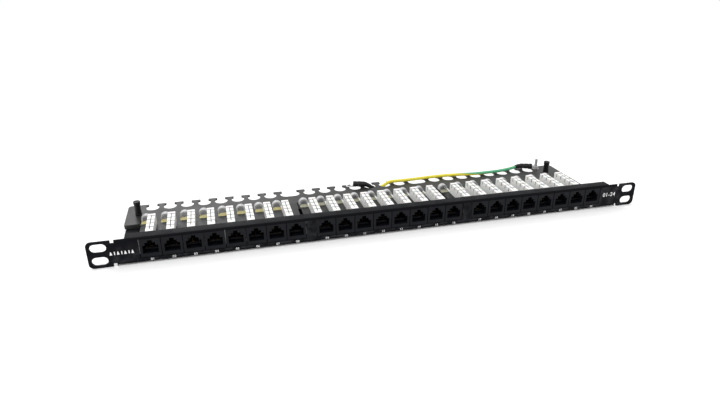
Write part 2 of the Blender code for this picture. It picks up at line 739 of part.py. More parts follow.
def wire_points():
    """The wire's centre line: out of one lug's barrel, along the bar and into the other's."""
    inside = BARREL_START + BARREL_LENGTH - BARREL_BORE_DEPTH + 0.6
    mouth = BARREL_START + BARREL_LENGTH
    ends = []
    for place, turn in ((STUD, STUD_LUG_TURN), (FREE_LUG, FREE_LUG_TURN)):
        ends.append([
            along(place, turn, inside, BARREL_HEIGHT), along(place, turn, mouth, BARREL_HEIGHT),
        ])
    route = ends[0] + [Vector(point) for point in WIRE_ROUTE] + list(reversed(ends[1]))
    return smooth(route, WIRE_POINTS)


def smooth(route, count):
    """Evenly spaced points on a centripetal Catmull-Rom curve through the route."""
    padded = [route[0] * 2 - route[1]] + route + [route[-1] * 2 - route[-2]]
    fine = []
    for index in range(1, len(padded) - 2):
        fine += spline_piece(padded[index - 1:index + 3], 24)
    fine.append(route[-1])
    lengths = [0.0]
    for before, after in zip(fine, fine[1:]):
        lengths.append(lengths[-1] + (after - before).length)
    points = []
    cursor = 0
    for index in range(count):
        target = lengths[-1] * index / (count - 1)
        while cursor < len(lengths) - 2 and lengths[cursor + 1] < target:
            cursor += 1
        share = (target - lengths[cursor]) / (lengths[cursor + 1] - lengths[cursor])
        points.append(fine[cursor].lerp(fine[cursor + 1], share))
    return points


def spline_piece(corners, steps):
    """Points from the second corner up to the third of a centripetal Catmull-Rom piece."""
    a, b, c, d = corners
    times = [0.0]
    for before, after in ((a, b), (b, c), (c, d)):
        times.append(times[-1] + math.sqrt((after - before).length))
    t0, t1, t2, t3 = times
    points = []
    for step in range(steps):
        t = t1 + (t2 - t1) * step / steps
        ab = a.lerp(b, (t - t0) / (t1 - t0))
        bc = b.lerp(c, (t - t1) / (t2 - t1))
        cd = c.lerp(d, (t - t2) / (t3 - t2))
        abc = ab.lerp(bc, (t - t0) / (t2 - t0))
        bcd = bc.lerp(cd, (t - t1) / (t3 - t1))
        points.append(abc.lerp(bcd, (t - t1) / (t2 - t1)))
    return points


def build_ground_wire(parts, material):
    """The insulated wire between the two lugs, as a plain tube."""
    curve = bpy.data.curves.new("ground_wire", "CURVE")
    curve.dimensions = "3D"
    curve.bevel_depth = WIRE_RADIUS * MM
    curve.bevel_resolution = 2
    curve.use_fill_caps = True
    points = wire_points()
    spline = curve.splines.new("POLY")
    spline.points.add(len(points) - 1)
    for target, point in zip(spline.points, points):
        target.co = (*(point * MM), 1.0)
    curve.materials.append(material)
    obj = bpy.data.objects.new("ground_wire", curve)
    parts.objects.link(obj)


def centre_on_footprint(parts, cutters):
    """Parent everything to one empty that moves the footprint's centre to the origin."""
    frame = bpy.data.objects.new("panel_frame", None)
    bpy.context.scene.collection.objects.link(frame)
    frame.location = (0.0, -BAR_REAR / 2 * MM, 0.0)
    for obj in list(parts.objects) + list(cutters.objects):
        obj.parent = frame


def main():
    """Build every solid of the panel."""
    parts, cutters = clear_scene()
    black_paint = make_material("black_paint", GRAPHITE, 0.5)
    bar_paint = make_material("bar_paint", GRAPHITE, 0.55)
    jack_plastic = make_material("jack_plastic", BLACK, 0.4)
    board = make_material("board", BOARD_GREEN, 0.35)
    white = make_material("white_plastic", WHITE, 0.4)
    screw_black = make_material("screw_black", BLACK, 0.45)
    steel = make_material("steel", STEEL, 0.3, 1.0)
    wire = make_material("wire_jacket", WIRE_COLOUR, 0.45)
    build_front_panel(parts, cutters, black_paint)
    build_rear_bar(parts, cutters, bar_paint)
    build_boards(parts, cutters, board)
    build_jacks(parts, cutters, jack_plastic)
    build_blocks(parts, cutters, white)
    build_thumbscrews(parts, screw_black)
    build_ground_stud(parts, cutters, steel)
    build_ring_lug("ring_lug_stud", STUD, STUD_LUG_TURN, parts, cutters, steel)
    build_ring_lug("ring_lug_free", FREE_LUG, FREE_LUG_TURN, parts, cutters, steel)
    build_ground_wire(parts, wire)
    centre_on_footprint(parts, cutters)


main()
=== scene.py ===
import math

import bmesh
import bpy
from mathutils import Matrix, Vector


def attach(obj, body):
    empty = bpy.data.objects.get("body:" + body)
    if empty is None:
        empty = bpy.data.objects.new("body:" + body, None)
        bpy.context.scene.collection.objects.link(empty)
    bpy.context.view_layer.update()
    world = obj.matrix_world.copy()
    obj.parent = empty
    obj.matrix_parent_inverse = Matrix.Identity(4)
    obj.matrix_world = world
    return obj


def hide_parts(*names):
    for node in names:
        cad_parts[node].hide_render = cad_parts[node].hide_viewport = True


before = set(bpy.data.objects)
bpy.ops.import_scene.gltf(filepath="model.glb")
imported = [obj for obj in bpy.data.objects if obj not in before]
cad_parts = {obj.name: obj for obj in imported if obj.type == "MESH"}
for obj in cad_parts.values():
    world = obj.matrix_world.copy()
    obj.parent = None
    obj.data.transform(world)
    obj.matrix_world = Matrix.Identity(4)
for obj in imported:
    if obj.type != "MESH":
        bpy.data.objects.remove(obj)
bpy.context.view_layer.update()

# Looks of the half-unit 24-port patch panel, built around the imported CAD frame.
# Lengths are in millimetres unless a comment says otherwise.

MM = 0.001
FRONT = 50.95          # mm from the front face back to the frame's origin
RACK_BODY = "panel"
PORTS_PER_GROUP = 8
PORT_PITCH = 16.256
GROUP_PITCH = 138.69
BAR_TOP = 6.0          # level of the cable bar's upper face
GAP = 0.3              # clearance between stacked parts
LUG_THICK = 0.8


def at(x, y, z):
    """A point in metres from millimetres along the panel, behind the front face and up."""
    return Vector((x, y - FRONT, z)) * MM


def port_positions():
    """X of every port in millimetres, left to right."""
    found = []
    for group in (-1, 0, 1):
        for port in range(PORTS_PER_GROUP):
            found.append(group * GROUP_PITCH + (port - 3.5) * PORT_PITCH)
    return found


PORTS = port_positions()


# --- Camera -------------------------------------------------------------------------------

CAMERA_PLACE = (-138.398, -417.839, 222.530)
CAMERA_TURN = (math.pi / 2 - 0.4160, 0.0002, -0.2580)
CAMERA_LENS = 28.576


def make_camera():
    """The viewpoint: from the front, left of the middle and above."""
    data = bpy.data.cameras.new("camera")
    data.lens = CAMERA_LENS
    data.sensor_width = 36.0
    data.clip_start = 0.01
    data.clip_end = 20.0
    camera = bpy.data.objects.new("camera", data)
    bpy.context.scene.collection.objects.link(camera)
    camera.location = at(*CAMERA_PLACE)
    camera.rotation_euler = CAMERA_TURN
    bpy.context.scene.camera = camera


make_camera()


# --- Materials ----------------------------------------------------------------------------

class Paint:
    """A Principled material with a small helper for wiring nodes."""

    def __init__(self, name, colour, roughness, metallic=0.0, **sockets):
        self.material = bpy.data.materials.new(name)
        self.material.use_nodes = True
        self.tree = self.material.node_tree
        self.shader = self.tree.nodes["Principled BSDF"]
        self.shader.inputs["Base Color"].default_value = (*colour, 1.0)
        self.shader.inputs["Roughness"].default_value = roughness
        self.shader.inputs["Metallic"].default_value = metallic
        for socket, value in sockets.items():
            self.shader.inputs[socket.replace("_", " ")].default_value = value
        self.coordinates = self.add("ShaderNodeTexCoord").outputs["Object"]

    def add(self, kind, **settings):
        node = self.tree.nodes.new(kind)
        for key, value in settings.items():
            setattr(node, key, value)
        return node

    def wire(self, source, target):
        self.tree.links.new(source, target)

    def stretched(self, scale):
        """Object coordinates, stretched by a factor on each axis."""
        node = self.add("ShaderNodeMapping")
        node.inputs["Scale"].default_value = scale
        self.wire(self.coordinates, node.inputs["Vector"])
        return node.outputs["Vector"]

    def noise(self, scale, detail=3.0, vector=None, distortion=0.0):
        node = self.add("ShaderNodeTexNoise")
        node.inputs["Scale"].default_value = scale
        node.inputs["Detail"].default_value = detail
        node.inputs["Distortion"].default_value = distortion
        self.wire(vector or self.coordinates, node.inputs["Vector"])
        return node.outputs["Fac"]

    def ramp(self, factor, stops):
        """Colour ramp; stops are (position, (r, g, b)) or (position, grey)."""
        node = self.add("ShaderNodeValToRGB")
        while len(node.color_ramp.elements) < len(stops):
            node.color_ramp.elements.new(0.5)
        for element, (position, value) in zip(node.color_ramp.elements, stops):
            rgb = value if isinstance(value, tuple) else (value, value, value)
            element.position = position
            element.color = (*rgb, 1.0)
        self.wire(factor, node.inputs["Fac"])
        return node.outputs["Color"]

    def mix(self, factor, first, second, blend="MIX"):
        node = self.add("ShaderNodeMix", data_type="RGBA", blend_type=blend)
        for socket, value in ((node.inputs[0], factor), (node.inputs[6], first),
                              (node.inputs[7], second)):
            if isinstance(value, bpy.types.NodeSocket):
                self.wire(value, socket)
            elif isinstance(value, tuple):
                socket.default_value = (*value, 1.0)
            else:
                socket.default_value = value
        return node.outputs[2]

    def bump(self, height, strength, distance, before=None):
        node = self.add("ShaderNodeBump")
        node.inputs["Strength"].default_value = strength
        node.inputs["Distance"].default_value = distance
        self.wire(height, node.inputs["Height"])
        if before:
            self.wire(before, node.inputs["Normal"])
        return node.outputs["Normal"]

    def set(self, **sockets):
        for name, source in sockets.items():
            self.wire(source, self.shader.inputs[name.replace("_", " ")])
        return self


def powder_coat(name, dark, light, roughness, edge, **sockets):
    """Baked powder paint: fine orange peel, uneven sheen, and paler edges, partly wear and partly
    a painted highlight.
    """
    paint = Paint(name, dark, roughness, **sockets)
    patches = paint.noise(55.0, 4.0)
    grain = paint.noise(2600.0, 2.0)
    peel = paint.noise(900.0, 3.0)
    body = paint.ramp(patches, ((0.3, dark), (0.75, light)))
    speckle = paint.ramp(grain, ((0.55, (0.0, 0.0, 0.0)), (0.8, edge)))
    body = paint.mix(0.08, body, speckle, "ADD")
    # Sharp edges are painted paler: partly rubbed wear, partly a painted highlight for the light
    # caught along the folded and cut edges.
    edge_wear_and_highlight = paint.ramp(paint.add("ShaderNodeNewGeometry").outputs["Pointiness"],
                      ((0.53, 0.0), (0.62, 1.0)))
    patchy_edge_wear_and_highlight = paint.mix(1.0, edge_wear_and_highlight, paint.ramp(paint.noise(160.0, 5.0), ((0.4, 0.1), (0.7, 1.0))),
                       "MULTIPLY")
    body = paint.mix(patchy_edge_wear_and_highlight, body, edge)
    gloss = paint.ramp(patches, ((0.25, roughness - 0.07), (0.8, roughness + 0.09)))
    normal = paint.bump(grain, 0.10, 0.00004, paint.bump(peel, 0.18, 0.00008))
    return paint.set(Base_Color=body, Roughness=gloss, Normal=normal).material


def moulded(name, dark, light, roughness, grain_scale=1500.0, strength=0.10, **sockets):
    """Injection-moulded plastic: faint flow shading and a fine spark-eroded grain."""
    paint = Paint(name, dark, roughness, **sockets)
    flow = paint.noise(120.0, 4.0, paint.stretched((1.0, 0.4, 1.0)), 0.6)
    grain = paint.noise(grain_scale, 2.0)
    body = paint.ramp(flow, ((0.3, dark), (0.7, light)))
    gloss = paint.ramp(flow, ((0.2, roughness - 0.06), (0.8, roughness + 0.08)))
    normal = paint.bump(grain, strength, 0.00005)
    return paint.set(Base_Color=body, Roughness=gloss, Normal=normal).material


def plated(name, dark, light, roughness, stretch=(1.0, 1.0, 12.0), metallic=1.0):
    """Bright plating with fine tool marks and slightly dull patches."""
    paint = Paint(name, dark, roughness, metallic=metallic)
    marks = paint.noise(900.0, 3.0, paint.stretched(stretch))
    patches = paint.noise(260.0, 4.0)
    body = paint.ramp(patches, ((0.3, dark), (0.7, light)))
    gloss = paint.ramp(marks, ((0.2, roughness - 0.08), (0.8, roughness + 0.12)))
    normal = paint.bump(marks, 0.10, 0.00003)
    return paint.set(Base_Color=body, Roughness=gloss, Normal=normal).material


def laminate(name, mask_dark, mask_light, **sockets):
    """Circuit board under dark solder mask: copper areas and fine tracks show faintly."""
    paint = Paint(name, mask_dark, 0.35, **sockets)
    tracks = paint.add("ShaderNodeTexBrick", offset=0.5, squash=1.0)
    tracks.inputs["Scale"].default_value = 1.0
    tracks.inputs["Mortar Size"].default_value = 0.00016
    tracks.inputs["Mortar Smooth"].default_value = 0.1
    tracks.inputs["Brick Width"].default_value = 0.0041
    tracks.inputs["Row Height"].default_value = 0.0017
    paint.wire(paint.coordinates, tracks.inputs["Vector"])
    pours = paint.ramp(paint.noise(140.0, 1.0), ((0.48, 0.0), (0.52, 1.0)))
    lines = paint.mix(0.7, tracks.outputs["Fac"], pours, "MULTIPLY")
    body = paint.mix(lines, mask_dark, mask_light)
    gloss = paint.ramp(paint.noise(300.0, 3.0), ((0.3, 0.26), (0.7, 0.42)))
    normal = paint.bump(lines, 0.25, 0.00004)
    return paint.set(Base_Color=body, Roughness=gloss, Normal=normal).material


def bare_laminate(name, pale, deep):
    """Glass-cloth laminate without mask: straw colour with the cloth's weave."""
    paint = Paint(name, pale, 0.5)
    weave = paint.add("ShaderNodeTexChecker")
    weave.inputs["Scale"].default_value = 3200.0
    paint.wire(paint.coordinates, weave.inputs["Vector"])
    clouds = paint.ramp(paint.noise(500.0, 3.0), ((0.3, pale), (0.75, deep)))
    body = paint.mix(0.12, clouds, weave.outputs["Color"], "MULTIPLY")
    normal = paint.bump(weave.outputs["Fac"], 0.15, 0.00003)
    return paint.set(Base_Color=body, Normal=normal).material


def print_ink(name, colour):
    """Screen-printed ink: slightly uneven coverage."""
    paint = Paint(name, colour, 0.5)
    cover = paint.noise(1400.0, 3.0)
    body = paint.mix(paint.ramp(cover, ((0.25, 0.45), (0.5, 1.0))),
                     tuple(0.55 * c for c in colour), colour)
    return paint.set(Base_Color=body, Normal=paint.bump(cover, 0.1, 0.00003)).material


BAND_SHARE = 0.42


def wire_jacket(name, yellow, green, share):
    """Two-colour earth wire: the UV map winds the green band slowly round the yellow."""
    paint = Paint(name, yellow, 0.4)
    split = paint.add("ShaderNodeSeparateXYZ")
    uv = paint.add("ShaderNodeUVMap", uv_map="around_along")
    paint.wire(uv.outputs["UV"], split.inputs["Vector"])
    cycle = paint.add("ShaderNodeMath", operation="FRACT")
    paint.wire(split.outputs["X"], cycle.inputs[0])
    band = paint.ramp(cycle.outputs[0], (
        (0.0, 0.0), (0.012, 1.0), (share, 1.0), (share + 0.012, 0.0)))
    smudge = paint.noise(350.0, 3.0)
    warm = paint.ramp(smudge, ((0.3, yellow), (0.75, tuple(0.86 * c for c in yellow))))
    cool = paint.ramp(smudge, ((0.3, green), (0.75, tuple(0.8 * c for c in green))))
    body = paint.mix(band, warm, cool)
    gloss = paint.ramp(smudge, ((0.3, 0.32), (0.7, 0.48)))
    normal = paint.bump(paint.noise(1100.0, 2.0), 0.08, 0.00004)
    return paint.set(Base_Color=body, Roughness=gloss, Normal=normal).material


FACE = powder_coat("face_black", (0.0026, 0.0028, 0.0040), (0.0040, 0.0043, 0.0058), 0.44,
                   (0.026, 0.027, 0.030), Specular_IOR_Level=0.04)
BAR = powder_coat("bar_black", (0.0125, 0.0125, 0.0120), (0.0185, 0.0185, 0.0175), 0.42,
                  (0.060, 0.060, 0.058), Specular_IOR_Level=0.26)
JACK = moulded("jack_black", (0.0038, 0.0042, 0.0060), (0.0058, 0.0064, 0.0088), 0.36,
               Specular_IOR_Level=0.12)
BLOCK = moulded("block_white", (0.73, 0.73, 0.715), (0.79, 0.79, 0.775), 0.36, 1300.0, 0.08,
                Subsurface_Weight=0.05, Subsurface_Scale=0.0006)
# The slot walls of the white block are painted mid grey: painted shade down in the wire slots.
SLOT_PAINTED_SHADE = moulded("block_slot_painted_shade", (0.16, 0.16, 0.16), (0.25, 0.25, 0.245), 0.5)
ARCH = moulded("arch_grey", (0.33, 0.33, 0.34), (0.46, 0.46, 0.47), 0.30, 700.0, 0.12)
BOARD = laminate("board_mask", (0.0055, 0.0065, 0.0060), (0.013, 0.018, 0.015),
                 Specular_IOR_Level=0.18)
STRAW = bare_laminate("board_bare_warm", (0.50, 0.45, 0.20), (0.38, 0.33, 0.12))
OLIVE = bare_laminate("board_bare_cool", (0.36, 0.355, 0.25), (0.27, 0.27, 0.19))
SCREW = powder_coat("screw_black", (0.0055, 0.0055, 0.0058), (0.0090, 0.0090, 0.0094), 0.36,
                    (0.060, 0.060, 0.060), Specular_IOR_Level=0.22)
STEEL = plated("zinc_steel", (0.17, 0.17, 0.168), (0.33, 0.33, 0.325), 0.24)
ZINC = plated("bright_zinc", (0.66, 0.66, 0.65), (0.82, 0.82, 0.81), 0.26, metallic=0.6)
TIN = plated("tinned_copper", (0.40, 0.40, 0.395), (0.60, 0.60, 0.59), 0.28, (1.0, 6.0, 1.0))
# The gold is painted darker than bright gold: painted shade for the contacts deep in the jack
# wells.
GOLD = plated("gold_contact", (0.40, 0.27, 0.09), (0.62, 0.44, 0.17), 0.30, (1.0, 8.0, 1.0))
SLEEVE = moulded("sleeve_black", (0.006, 0.006, 0.0065), (0.011, 0.011, 0.0115), 0.44, 900.0,
                 0.3, Specular_IOR_Level=0.25)
JACKET = wire_jacket("earth_jacket", (0.76, 0.66, 0.045), (0.080, 0.40, 0.20), BAND_SHARE)
INK = print_ink("white_ink", (0.80, 0.80, 0.80))
CODES = [
    print_ink("code_blue", (0.64, 0.67, 0.74)),
    print_ink("code_orange", (0.76, 0.70, 0.63)),
    print_ink("code_green", (0.65, 0.73, 0.67)),
    print_ink("code_pink", (0.78, 0.65, 0.69)),
]


# --- Mesh helpers -------------------------------------------------------------------------

def new_object(name, mesh, *materials):
    """Link a mesh as an object with these materials."""
    obj = bpy.data.objects.new(name, mesh)
    bpy.context.scene.collection.objects.link(obj)
    for material in materials:
        mesh.materials.append(material)
    return obj


def finish_shape(shape, name, smooth=32.0):
    """Write a bmesh out as a mesh, shaded smooth except over sharp edges."""
    mesh = bpy.data.meshes.new(name)
    shape.to_mesh(mesh)
    shape.free()
    mesh.shade_smooth()
    mesh.set_sharp_from_angle(angle=math.radians(smooth))
    return mesh


def add_piece(obj, body=RACK_BODY, replaces=()):
    if replaces:
        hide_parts(*replaces)
    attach(obj, body)
    return obj


def apply_modifiers(obj):
    """Turn an object's modifiers into mesh."""
    graph = bpy.context.evaluated_depsgraph_get()
    mesh = bpy.data.meshes.new_from_object(obj.evaluated_get(graph))
    old = obj.data
    obj.modifiers.clear()
    obj.data = mesh
    if not old.users:
        bpy.data.meshes.remove(old)


def round_edges(obj, width, segments=2, angle=28.0):
    """Bevel the sharp edges and keep the flat faces flat."""
    bevel = obj.modifiers.new("rounding", "BEVEL")
    bevel.width = width * MM
    bevel.segments = segments
    bevel.limit_method = "ANGLE"
    bevel.angle_limit = math.radians(angle)
    bevel.harden_normals = True
    bevel.use_clamp_overlap = True
    apply_modifiers(obj)


def carried_mesh(node):
    """A clean copy of a CAD node's mesh: welded, with coplanar triangles merged."""
    shape = bmesh.new()
    shape.from_mesh(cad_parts[node].data)
    bmesh.ops.remove_doubles(shape, verts=shape.verts, dist=1e-6)
    bmesh.ops.dissolve_limit(shape, angle_limit=math.radians(0.6), verts=shape.verts,
                             edges=shape.edges)
    return shape


def carried_piece(node, name, width, material, segments=2):
    """A CAD node with rounded edges and a finished surface, in the node's place."""
    obj = new_object(name, finish_shape(carried_mesh(node), name), material)
    round_edges(obj, width, segments)
    return add_piece(obj, replaces=(node,))


def add_box(shape, low, high, index=0):
    """A box in millimetres, in port coordinates, into a bmesh."""
    made = bmesh.ops.create_cube(shape, size=1.0)["verts"]
    size = [(b - a) * MM for a, b in zip(low, high)]
    middle = [(a + b) / 2 * MM for a, b in zip(low, high)]
    bmesh.ops.scale(shape, vec=size, verts=made)
    bmesh.ops.translate(shape, vec=middle, verts=made)
    for face in {face for vert in made for face in vert.link_faces}:
        face.material_index = index


def add_rod(shape, points, width, height):
    """A flat strip of rectangular section through points in the YZ plane, in millimetres."""
    rings = []
    for number, (x, y, z) in enumerate(points):
        before = Vector(points[max(number - 1, 0)])
        after = Vector(points[min(number + 1, len(points) - 1)])
        along = (after - before).normalized()
        up = Vector((0.0, -along.z, along.y)) * height / 2
        across = Vector((width / 2, 0.0, 0.0))
        middle = Vector((x, y, z))
        corners = (middle - across - up, middle + across - up, middle + across + up,
                   middle - across + up)
        rings.append([shape.verts.new(corner * MM) for corner in corners])
    for first, second in zip(rings, rings[1:]):
        for side in range(4):
            following = (side + 1) % 4
            shape.faces.new((first[side], first[following], second[following], second[side]))
    shape.faces.new(tuple(reversed(rings[0])))
    shape.faces.new(tuple(rings[-1]))


def lathe(name, profile, material, place, steps=40):
    """A turned shape from a profile of (radius, height) in millimetres, top to bottom."""
    mesh = bpy.data.meshes.new(name)
    verts = [(radius * MM, 0.0, height * MM) for radius, height in profile]
    mesh.from_pydata(verts, [(i, i + 1) for i in range(len(verts) - 1)], [])
    obj = new_object(name, mesh, material)
    screw = obj.modifiers.new("turn", "SCREW")
    screw.steps = steps
    screw.render_steps = steps
    screw.use_merge_vertices = True
    screw.merge_threshold = 1e-6
    apply_modifiers(obj)
    obj.data.shade_smooth()
    obj.data.set_sharp_from_angle(angle=math.radians(30.0))
    obj.location = at(place[0], place[1], 0.0)
    return obj


def rounded_profile(profile, radius, steps=4):
    """Round the inner corners of a lathe profile."""
    result = [profile[0]]
    for before, corner, after in zip(profile, profile[1:], profile[2:]):
        a, b, c = Vector(before), Vector(corner), Vector(after)
        reach = min(radius, (a - b).length / 2.01, (c - b).length / 2.01)
        start = b + (a - b).normalized() * reach
        end = b + (c - b).normalized() * reach
        for step in range(steps + 1):
            t = step / steps
            point = start * (1 - t) ** 2 + b * 2 * t * (1 - t) + end * t * t
            result.append((point.x, point.y))
    result.append(profile[-1])
    return result


def tube(name, points, radii, material, sides=20, uv_name=None, twist=None):
    """A round tube through points in metres, with one radius in metres at each point."""
    shape = bmesh.new()
    uv = shape.loops.layers.uv.new(uv_name) if uv_name else None
    rings = []
    travelled = [0.0]
    for before, after in zip(points, points[1:]):
        travelled.append(travelled[-1] + (after - before).length)
    side = Vector((0.0, 0.0, 1.0))
    for number, point in enumerate(points):
        before = points[max(number - 1, 0)]
        after = points[min(number + 1, len(points) - 1)]
        along = (after - before).normalized()
        side = (side - along * side.dot(along)).normalized()
        other = along.cross(side)
        ring = []
        for step in range(sides):
            angle = 2 * math.pi * step / sides
            offset = side * math.cos(angle) + other * math.sin(angle)
            ring.append(shape.verts.new(point + offset * radii[number]))
        rings.append(ring)
    for number, (first, second) in enumerate(zip(rings, rings[1:])):
        for step in range(sides):
            following = (step + 1) % sides
            face = shape.faces.new((first[step], first[following], second[following],
                                    second[step]))
            if uv:
                for loop, (u, v) in zip(face.loops, ((step, number), (step + 1, number),
                                                     (step + 1, number + 1), (step, number + 1))):
                    wound = twist(travelled[v]) if twist else 0.0
                    loop[uv].uv = (u / sides - wound, travelled[v])
    shape.faces.new(list(reversed(rings[0])))
    shape.faces.new(rings[-1])
    bmesh.ops.recalc_face_normals(shape, faces=shape.faces)
    return new_object(name, finish_shape(shape, name, 50.0), material)


# --- Earth wire ---------------------------------------------------------------------------

WIRE_RADIUS = 1.6
STUD = (193.0, 95.0)
STUD_TURN = math.radians(161.0)
FREE_LUG = (-13.8, 97.4)
FREE_TURN = math.radians(-17.0)
BARREL_START = 3.7
BARREL_END = 12.7
BARREL_RADIUS = 2.5
BARREL_DEPTH = 6.5     # how far the wire's seat runs into the barrel
BARREL_HEIGHT = BAR_TOP + GAP + BARREL_RADIUS + 0.06
LUG_EDGE = 0.12
SLEEVE_RADIUS = 2.78
SLEEVE_END_RADIUS = 2.0
SLEEVE_STRAIGHT = 8.6  # length over the barrel before the sleeve tapers
SLEEVE_TAPER = 0.10
SLEEVES = (("sleeve_at_stud", True, 12.0), ("sleeve_at_free_end", False, 15.0))
WIRE_ROUTE = (
    (176.9, 100.0, 9.2), (171.4, 99.4, 8.8), (165.0, 97.9, 8.2), (157.0, 96.0, 8.0),
    (147.0, 94.4, 7.95), (134.0, 93.6, 7.95), (120.0, 93.6, 7.95), (106.0, 95.2, 7.95),
    (92.0, 96.4, 7.95), (78.0, 96.6, 7.95), (62.0, 95.7, 7.95), (48.0, 94.9, 7.95),
    (37.5, 94.4, 8.1), (32.0, 94.2, 8.3), (28.5, 94.2, 8.15), (25.0, 94.3, 6.95),
    (21.0, 94.3, 4.6), (17.6, 94.2, 3.1), (14.5, 94.0, 2.75), (11.4, 93.6, 3.1),
    (8.2, 93.0, 4.7), (4.9, 92.4, 7.1), (1.8, 92.65, 8.65),
)


def from_eye(place, turn, distance):
    """A point out along a lug's barrel, in millimetres."""
    return Vector((place[0] + distance * math.cos(turn), place[1] + distance * math.sin(turn),
                   BARREL_HEIGHT))


def spline_piece(corners, steps):
    """Points from the second corner up to the third of a centripetal Catmull-Rom piece."""
    a, b, c, d = corners
    times = [0.0]
    for before, after in ((a, b), (b, c), (c, d)):
        times.append(times[-1] + math.sqrt((after - before).length))
    t0, t1, t2, t3 = times
    points = []
    for step in range(steps):
        t = t1 + (t2 - t1) * step / steps
        ab = a.lerp(b, (t - t0) / (t1 - t0))
        bc = b.lerp(c, (t - t1) / (t2 - t1))
        cd = c.lerp(d, (t - t2) / (t3 - t2))
        abc = ab.lerp(bc, (t - t0) / (t2 - t0))
        bcd = bc.lerp(cd, (t - t1) / (t3 - t1))
        points.append(abc.lerp(bcd, (t - t1) / (t2 - t1)))
    return points


def smooth(route, count):
    """Evenly spaced points on a smooth curve through the route, and its length."""
    padded = [route[0] * 2 - route[1]] + route + [route[-1] * 2 - route[-2]]
    fine = []
    for index in range(1, len(padded) - 2):
        fine += spline_piece(padded[index - 1:index + 3], 24)
    fine.append(route[-1])
    lengths = [0.0]
    for before, after in zip(fine, fine[1:]):
        lengths.append(lengths[-1] + (after - before).length)
    points = []
    cursor = 0
    for index in range(count):
        target = lengths[-1] * index / (count - 1)
        while cursor < len(lengths) - 2 and lengths[cursor + 1] < target:
            cursor += 1
        share = (target - lengths[cursor]) / (lengths[cursor + 1] - lengths[cursor])
        points.append(fine[cursor].lerp(fine[cursor + 1], share))
    return points, lengths[-1]


BAND_CENTRES = ((0.0, 0.74), (0.035, 0.82), (0.055, 0.89), (0.072, 1.02), (0.096, 1.27),
                (0.16, 1.30), (0.30, 1.40))   # metres along the wire, turns round it


def band_start(along):
    """Where the green band starts round the wire, in turns, at this distance in metres."""
    for (low, first), (high, second) in zip(BAND_CENTRES, BAND_CENTRES[1:]):
        if along <= high:
            share = (along - low) / (high - low)
            return first + (second - first) * share - BAND_SHARE / 2
    return BAND_CENTRES[-1][1] - BAND_SHARE / 2


def make_wire():
    """The earth wire, its two heat-shrink sleeves and the two ring lugs."""
    inside = BARREL_END - BARREL_DEPTH + 0.6
    ends = []
    for place, turn in ((STUD, STUD_TURN), (FREE_LUG, FREE_TURN)):
        ends.append([from_eye(place, turn, inside), from_eye(place, turn, BARREL_END)])
    route = ends[0] + [Vector(point) for point in WIRE_ROUTE] + list(reversed(ends[1]))
    line, length = smooth(route, 240)
    points = [at(*point) for point in line]
    radii = [WIRE_RADIUS * MM] * len(points)
    wire = tube("earth_wire", points, radii, JACKET, 24, "around_along", band_start)
    for name, near, reach in SLEEVES:
        place, turn = (STUD, STUD_TURN) if near else (FREE_LUG, FREE_TURN)
        start = [from_eye(place, turn, BARREL_START + 0.5 + 0.5 * i) for i in range(16)]
        run = line if near else list(reversed(line))
        covered = (start[-1] - start[0]).length
        run = [point for point in run if (point - start[0]).length > covered]
        travelled = 0.0
        for before, after in zip(run, run[1:]):
            travelled += (after - before).length
            if travelled > reach:
                break
            start.append(after)
        radii = []
        for number, point in enumerate(start):
            out = (point - start[0]).length
            taper = SLEEVE_TAPER * max(0.0, out - SLEEVE_STRAIGHT)
            radius = max(SLEEVE_END_RADIUS, SLEEVE_RADIUS - taper)
            wobble = 0.10 * math.sin(out * 1.3) + 0.06 * math.sin(out * 3.1 + 1.0)
            radii.append((radius + wobble) * MM)
        radii[0] *= 0.93
        radii[-1] *= 0.9
        sleeve = tube(name, [at(*point) for point in start], radii, SLEEVE, 24)
        add_piece(sleeve)
    for node, name in (("ring_lug_stud", "stud_lug"), ("ring_lug_free", "free_lug")):
        carried_piece(node, name, LUG_EDGE, ZINC)
    add_piece(wire, replaces=("ground_wire",))


make_wire()


# --- Sheet metal --------------------------------------------------------------------------

FRONT_EDGE = 0.16
BAR_EDGE = 0.14

carried_piece("front_panel", "folded_front", FRONT_EDGE, FACE)
carried_piece("rear_cable_bar", "cable_bar", BAR_EDGE, BAR)


# --- Prints on the front ------------------------------------------------------------------

NUMERAL_SIZE = 2.75
NUMERAL_PLACE = (0.5, 2.45)
NUMERAL_SPREAD = 1.08
RANGE_SIZE = 5.4
RANGE_PLACE = (213.6, 12.4)
MARK_COUNT = 7
MARK_FROM = (-224.4, 11.0)
MARK_STEP = 2.62
MARK_WIDTH = 1.9
MARK_HEIGHT = 2.7
PRINT_FRONT = -0.03    # the marks' two faces, from the front face back
PRINT_BACK = -0.005


def printed_text(text, size, x, z):
    """Flat printed characters on the front face, as mesh."""
    curve = bpy.data.curves.new("print", "FONT")
    curve.body = text
    curve.size = size * MM
    curve.align_x = "CENTER"
    curve.align_y = "CENTER"
    curve.extrude = 0.012 * MM
    curve.offset = 0.015 * MM
    curve.space_character = NUMERAL_SPREAD
    holder = bpy.data.objects.new("print", curve)
    bpy.context.scene.collection.objects.link(holder)
    holder.location = at(x, -0.022, z)
    holder.rotation_euler = (math.pi / 2, 0.0, 0.0)
    bpy.context.view_layer.update()
    graph = bpy.context.evaluated_depsgraph_get()
    mesh = bpy.data.meshes.new_from_object(holder.evaluated_get(graph))
    mesh.transform(holder.matrix_world)
    bpy.data.objects.remove(holder, do_unlink=True)
    bpy.data.curves.remove(curve)
    return mesh


